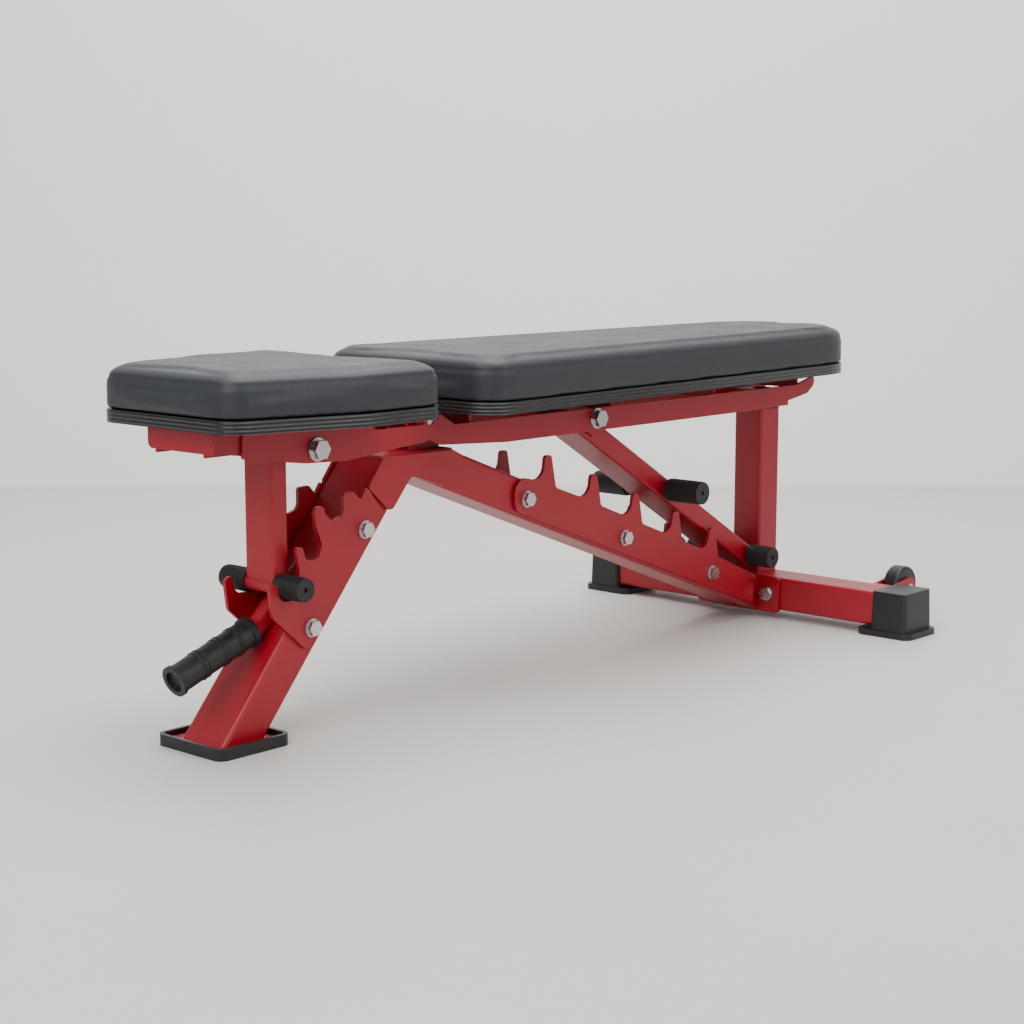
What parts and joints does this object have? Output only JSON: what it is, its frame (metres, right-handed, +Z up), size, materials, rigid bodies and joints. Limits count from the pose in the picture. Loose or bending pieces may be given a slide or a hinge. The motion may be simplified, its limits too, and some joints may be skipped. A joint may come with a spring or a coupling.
{
  "type": "adjustable weight bench",
  "caption": "Adjustable weight bench: long tapered back rest and short seat on a sloping tube frame with toothed ladders, support arm, rear crossbar and transport wheels.",
  "frame": {"origin": "on the floor under the middle of the bench", "axes": "+X to the head end, +Z up, -Y the side seen in the picture"},
  "size_m": [1.26, 0.61, 0.441],
  "materials": {
    "red_steel": "satin powder coat",
    "black_plastic": "satin moulded",
    "wheel_rubber": "moulded",
    "vinyl": "grained vinyl upholstery",
    "trim": "ribbed extruded edging",
    "plywood": "dark board",
    "grip_rubber": "matte",
    "zinc": "zinc plated"
  },
  "bodies": {
    "frame": {"front_foot": "black_plastic", "leg_base_plate": "red_steel", "front_leg": "red_steel", "spine": "red_steel", "apex_cap": "red_steel", "seat_ladder_bolts": "zinc", "back_ladder_bolts": "zinc", "spine_flange": "red_steel", "flange_bolts": "zinc", "rear_crossbar": "red_steel", "rear_upright": "red_steel", "upright_plug": "black_plastic", "handle_tube": "red_steel", "handle_grip": "grip_rubber", "hinge_pin": "zinc", "hinge_lugs": "red_steel", "wheel_axles": "zinc", "apex_cheek_near": "red_steel", "seat_ladder_near": "red_steel", "back_ladder_near": "red_steel", "end_cap_near": "black_plastic", "wheel_fork_near": "red_steel", "apex_cheek_far": "red_steel", "seat_ladder_far": "red_steel", "back_ladder_far": "red_steel", "end_cap_far": "black_plastic", "wheel_fork_far": "red_steel"},
    "seat": {"seat_bracket_front": "red_steel", "seat_bracket_rear": "red_steel", "seat_board": "plywood", "seat_trim": "trim", "seat_pad": "vinyl", "seat_bar_near": "red_steel", "seat_bar_far": "red_steel"},
    "seat_post": {"seat_post": "red_steel", "post_foot_bar": "red_steel", "post_pivot_bolt": "zinc", "post_ears": "red_steel", "post_spacers": "zinc", "post_roller_near": "grip_rubber", "post_roller_far": "grip_rubber"},
    "back": {"back_brackets": "red_steel", "rest_block": "red_steel", "back_board": "plywood", "back_trim": "trim", "back_pad": "vinyl", "back_bar_near": "red_steel", "back_bar_far": "red_steel"},
    "support_arm": {"arm": "red_steel", "arm_crossbar": "red_steel", "arm_foot_bar": "red_steel", "arm_pivot_bolt": "zinc", "arm_ears": "red_steel", "arm_spacers": "zinc", "arm_grip_near": "grip_rubber", "arm_grip_far": "grip_rubber", "arm_roller_near": "grip_rubber", "arm_roller_far": "grip_rubber"},
    "wheel_near": {"wheel_near": "wheel_rubber"},
    "wheel_far": {"wheel_far": "wheel_rubber"}
  },
  "joints": [
    {"name": "back_hinge", "type": "hinge", "parent": "frame", "child": "back", "pos_m": [-0.253, 0, 0.36], "axis": [0, -1, 0], "range_deg": [0, 71]},
    {"name": "arm_pivot", "type": "hinge", "parent": "back", "child": "support_arm", "pos_m": [0.073, 0, 0.337], "axis": [0, -1, 0], "range_deg": [-92, 0]},
    {"name": "seat_hinge", "type": "hinge", "parent": "frame", "child": "seat", "pos_m": [-0.253, 0, 0.36], "axis": [0, 1, 0], "range_deg": [0, 15]},
    {"name": "post_pivot", "type": "hinge", "parent": "seat", "child": "seat_post", "pos_m": [-0.443, 0, 0.341], "axis": [0, 1, 0], "range_deg": [-11, 0]},
    {"name": "wheel_near_spin", "type": "hinge", "parent": "frame", "child": "wheel_near", "pos_m": [0.586, 0, 0.055], "axis": [0, 1, 0], "continuous": true},
    {"name": "wheel_far_spin", "type": "hinge", "parent": "frame", "child": "wheel_far", "pos_m": [0.586, 0, 0.055], "axis": [0, 1, 0], "continuous": true}
  ],
  "couplings": [
    {"joint": "arm_pivot", "follows": "back_hinge", "ratio": -1.28},
    {"joint": "post_pivot", "follows": "seat_hinge", "ratio": -0.6}
  ]
}
